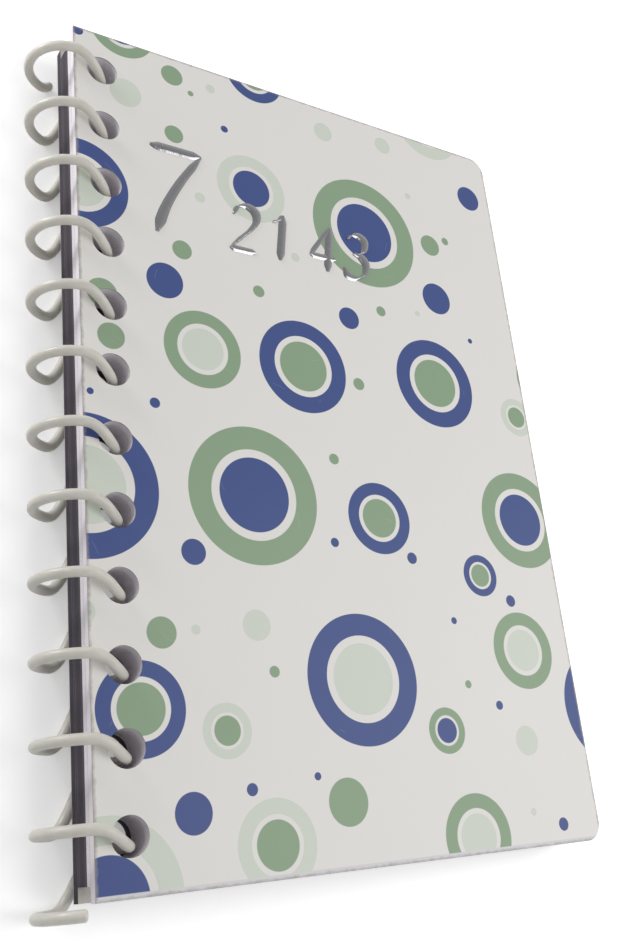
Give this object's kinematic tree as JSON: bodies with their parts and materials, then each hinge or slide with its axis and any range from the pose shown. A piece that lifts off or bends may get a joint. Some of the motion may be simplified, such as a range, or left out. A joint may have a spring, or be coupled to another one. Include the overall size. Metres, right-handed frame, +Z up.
{
  "type": "coil-bound bingo card booklet",
  "caption": "Upright booklet of bingo cards: stiff printed covers and loose card leaves turn about a plastic coil that winds through a row of round holes along the spine.",
  "frame": {"origin": "on the table, under the middle of the whole booklet as it lies closed on its back cover", "axes": "+X from the spine to the fore edge, +Y from the tail edge to the head edge, +Z up out of the front cover"},
  "size_m": [0.1108, 0.159, 0.0152],
  "materials": {
    "cover_print": "satin laminate over print",
    "lining": "matt",
    "white_board": "cut edge of white pressed board",
    "grey_board": "cut edge of dark grey pressed board",
    "leaf_card": "dark card, printed",
    "coil": "translucent ivory plastic"
  },
  "bodies": {
    "back_cover": {"back_board": "grey_board", "back_print": "cover_print", "back_lining": "lining", "binding_coil": "coil"},
    "leaf_01": {"leaf_01": "leaf_card"},
    "leaf_02": {"leaf_02": "leaf_card"},
    "leaf_03": {"leaf_03": "leaf_card"},
    "leaf_04": {"leaf_04": "leaf_card"},
    "leaf_05": {"leaf_05": "leaf_card"},
    "leaf_06": {"leaf_06": "leaf_card"},
    "leaf_07": {"leaf_07": "leaf_card"},
    "leaf_08": {"leaf_08": "leaf_card"},
    "leaf_09": {"leaf_09": "leaf_card"},
    "leaf_10": {"leaf_10": "leaf_card"},
    "leaf_11": {"leaf_11": "leaf_card"},
    "leaf_12": {"leaf_12": "leaf_card"},
    "leaf_13": {"leaf_13": "leaf_card"},
    "leaf_14": {"leaf_14": "leaf_card"},
    "leaf_15": {"leaf_15": "leaf_card"},
    "leaf_16": {"leaf_16": "leaf_card"},
    "leaf_17": {"leaf_17": "leaf_card"},
    "leaf_18": {"leaf_18": "leaf_card"},
    "leaf_19": {"leaf_19": "leaf_card"},
    "leaf_20": {"leaf_20": "leaf_card"},
    "front_cover": {"front_board": "white_board", "front_print": "cover_print", "front_lining": "lining"}
  },
  "joints": [
    {"name": "leaf_20_turn", "type": "hinge", "parent": "back_cover", "child": "leaf_20", "pos_m": [-0.04774, 0, 0.00753], "axis": [0, -1, 0], "range_deg": [0, 180]},
    {"name": "leaf_19_turn", "type": "hinge", "parent": "leaf_20", "child": "leaf_19", "pos_m": [-0.04774, 0, 0.00753], "axis": [0, -1, 0], "range_deg": [0, 180]},
    {"name": "leaf_18_turn", "type": "hinge", "parent": "leaf_19", "child": "leaf_18", "pos_m": [-0.04774, 0, 0.00753], "axis": [0, -1, 0], "range_deg": [0, 180]},
    {"name": "leaf_17_turn", "type": "hinge", "parent": "leaf_18", "child": "leaf_17", "pos_m": [-0.04774, 0, 0.00753], "axis": [0, -1, 0], "range_deg": [0, 180]},
    {"name": "leaf_16_turn", "type": "hinge", "parent": "leaf_17", "child": "leaf_16", "pos_m": [-0.04774, 0, 0.00753], "axis": [0, -1, 0], "range_deg": [0, 180]},
    {"name": "leaf_15_turn", "type": "hinge", "parent": "leaf_16", "child": "leaf_15", "pos_m": [-0.04774, 0, 0.00753], "axis": [0, -1, 0], "range_deg": [0, 180]},
    {"name": "leaf_14_turn", "type": "hinge", "parent": "leaf_15", "child": "leaf_14", "pos_m": [-0.04774, 0, 0.00753], "axis": [0, -1, 0], "range_deg": [0, 180]},
    {"name": "leaf_13_turn", "type": "hinge", "parent": "leaf_14", "child": "leaf_13", "pos_m": [-0.04774, 0, 0.00753], "axis": [0, -1, 0], "range_deg": [0, 180]},
    {"name": "leaf_12_turn", "type": "hinge", "parent": "leaf_13", "child": "leaf_12", "pos_m": [-0.04774, 0, 0.00753], "axis": [0, -1, 0], "range_deg": [0, 180]},
    {"name": "leaf_11_turn", "type": "hinge", "parent": "leaf_12", "child": "leaf_11", "pos_m": [-0.04774, 0, 0.00753], "axis": [0, -1, 0], "range_deg": [0, 180]},
    {"name": "leaf_10_turn", "type": "hinge", "parent": "leaf_11", "child": "leaf_10", "pos_m": [-0.04774, 0, 0.00753], "axis": [0, -1, 0], "range_deg": [0, 180]},
    {"name": "leaf_09_turn", "type": "hinge", "parent": "leaf_10", "child": "leaf_09", "pos_m": [-0.04774, 0, 0.00753], "axis": [0, -1, 0], "range_deg": [0, 180]},
    {"name": "leaf_08_turn", "type": "hinge", "parent": "leaf_09", "child": "leaf_08", "pos_m": [-0.04774, 0, 0.00753], "axis": [0, -1, 0], "range_deg": [0, 180]},
    {"name": "leaf_07_turn", "type": "hinge", "parent": "leaf_08", "child": "leaf_07", "pos_m": [-0.04774, 0, 0.00753], "axis": [0, -1, 0], "range_deg": [0, 180]},
    {"name": "leaf_06_turn", "type": "hinge", "parent": "leaf_07", "child": "leaf_06", "pos_m": [-0.04774, 0, 0.00753], "axis": [0, -1, 0], "range_deg": [0, 180]},
    {"name": "leaf_05_turn", "type": "hinge", "parent": "leaf_06", "child": "leaf_05", "pos_m": [-0.04774, 0, 0.00753], "axis": [0, -1, 0], "range_deg": [0, 180]},
    {"name": "leaf_04_turn", "type": "hinge", "parent": "leaf_05", "child": "leaf_04", "pos_m": [-0.04774, 0, 0.00753], "axis": [0, -1, 0], "range_deg": [0, 180]},
    {"name": "leaf_03_turn", "type": "hinge", "parent": "leaf_04", "child": "leaf_03", "pos_m": [-0.04774, 0, 0.00753], "axis": [0, -1, 0], "range_deg": [0, 180]},
    {"name": "leaf_02_turn", "type": "hinge", "parent": "leaf_03", "child": "leaf_02", "pos_m": [-0.04774, 0, 0.00753], "axis": [0, -1, 0], "range_deg": [0, 180]},
    {"name": "leaf_01_turn", "type": "hinge", "parent": "leaf_02", "child": "leaf_01", "pos_m": [-0.04774, 0, 0.00753], "axis": [0, -1, 0], "range_deg": [0, 180]},
    {"name": "front_cover_turn", "type": "hinge", "parent": "leaf_01", "child": "front_cover", "pos_m": [-0.04774, 0, 0.00753], "axis": [0, -1, 0], "range_deg": [0, 180]}
  ]
}
